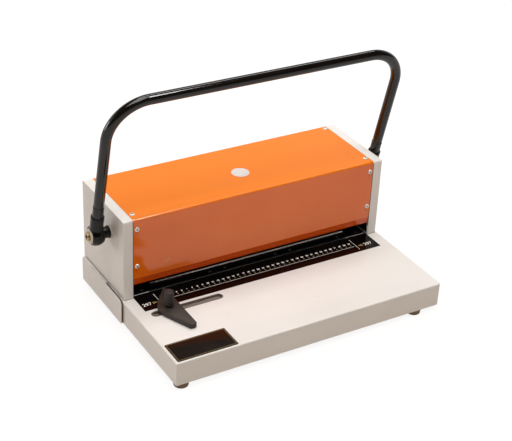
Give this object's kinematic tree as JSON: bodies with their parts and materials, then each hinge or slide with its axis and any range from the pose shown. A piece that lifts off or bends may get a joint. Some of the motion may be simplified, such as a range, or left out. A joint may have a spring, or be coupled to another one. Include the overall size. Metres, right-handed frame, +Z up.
{
  "type": "coil binding punch",
  "caption": "Bench coil binding punch: a swinging tubular handle turns cams that press round punches through a paper stack into a die, with an edge guide and a chip tray.",
  "frame": {"origin": "middle of the machine's outline on the desk, at the undersides of the feet, with the handle up", "axes": "+X along the machine to the right as its user sees it, +Y to the back, +Z up"},
  "size_m": [0.4346, 0.2696, 0.3197],
  "materials": {
    "cream_paint": "semi-gloss powder coat",
    "orange_paint": "semi-gloss powder coat",
    "black_gloss": "gloss stove enamel",
    "blackened_steel": "blackened and oiled",
    "bright_steel": "ground",
    "spring_steel": "drawn wire",
    "zinc_plate": "zinc plated",
    "brass": "turned",
    "pale_nylon": "moulded",
    "brown_rubber": "matt",
    "dark_plastic": "fine moulded grain",
    "scale_print": "printed film",
    "white_label": "paper sticker"
  },
  "bodies": {
    "root": {"base_shell": "cream_paint", "side_panel_left": "cream_paint", "side_panel_right": "cream_paint", "foot_front_left": "brown_rubber", "foot_front_right": "brown_rubber", "foot_rear_left": "brown_rubber", "foot_rear_right": "brown_rubber", "hole_scale": "scale_print", "front_plate": "scale_print", "slot_channel": "zinc_plate", "tray_rail_front": "zinc_plate", "tray_rail_rear": "zinc_plate", "cover_screw_1": "zinc_plate", "cover_screw_2": "zinc_plate", "cover_screw_3": "zinc_plate", "cover_screw_4": "zinc_plate", "cover_screw_5": "zinc_plate", "cover_screw_6": "zinc_plate", "cover_screw_7": "zinc_plate", "cover_screw_8": "zinc_plate", "cover_screw_9": "zinc_plate", "cover_screw_10": "zinc_plate", "side_frame_left": "blackened_steel", "side_frame_right": "blackened_steel", "die_plate": "blackened_steel", "die_bearer_left": "blackened_steel", "die_bearer_right": "blackened_steel", "guide_block_left": "blackened_steel", "guide_block_middle": "blackened_steel", "guide_block_right": "blackened_steel", "cover": "orange_paint", "cover_disc": "white_label", "paper_stop": "bright_steel", "guide_post_left": "bright_steel", "guide_post_right": "bright_steel", "return_spring_left": "spring_steel", "return_spring_right": "spring_steel", "shaft_bush_left": "pale_nylon", "shaft_bush_right": "pale_nylon"},
    "handle": {"cross_shaft": "bright_steel", "cam_left": "bright_steel", "cam_right": "bright_steel", "spacer_collar": "black_gloss", "arm_hub_left": "black_gloss", "arm_hub_right": "black_gloss", "arm_ferrule_left": "black_gloss", "arm_ferrule_right": "black_gloss", "end_washer_left": "pale_nylon", "end_washer_right": "pale_nylon", "hub_bolt_left": "brass", "hub_bolt_right": "brass", "handle_tube": "black_gloss"},
    "ram": {"ram_beam": "blackened_steel", "punch_unit_left": "bright_steel", "punch_unit_middle": "bright_steel", "punch_unit_right": "bright_steel"},
    "tray": {"chip_tray": "cream_paint"},
    "guide": {"edge_guide": "dark_plastic", "guide_nut": "zinc_plate"},
    "knob": {"guide_knob": "dark_plastic"}
  },
  "joints": [
    {"name": "handle_pivot", "type": "hinge", "parent": "root", "child": "handle", "pos_m": [0, 0.05175, 0.1201], "axis": [1, 0, 0], "range_deg": [0, 72], "stiffness_Nm_per_rad": 0.77, "springref_deg": -74.48},
    {"name": "ram_slide", "type": "slide", "parent": "root", "child": "ram", "axis": [0, 0, 1], "range_m": [-0.009, 0], "deforming": ["return_spring_left", "return_spring_right"]},
    {"name": "tray_slide", "type": "slide", "parent": "root", "child": "tray", "axis": [-1, 0, 0], "range_m": [0, 0.3]},
    {"name": "guide_slide", "type": "slide", "parent": "root", "child": "guide", "axis": [1, 0, 0], "range_m": [-0.0195, 0.071]},
    {"name": "knob_turn", "type": "hinge", "parent": "guide", "child": "knob", "pos_m": [-0.1451, -0.03135, 0.047], "axis": [0, 0, 1], "range_deg": [0, 180]}
  ],
  "couplings": [
    {"joint": "ram_slide", "follows": "handle_pivot", "m_per_rad": -0.007161}
  ]
}
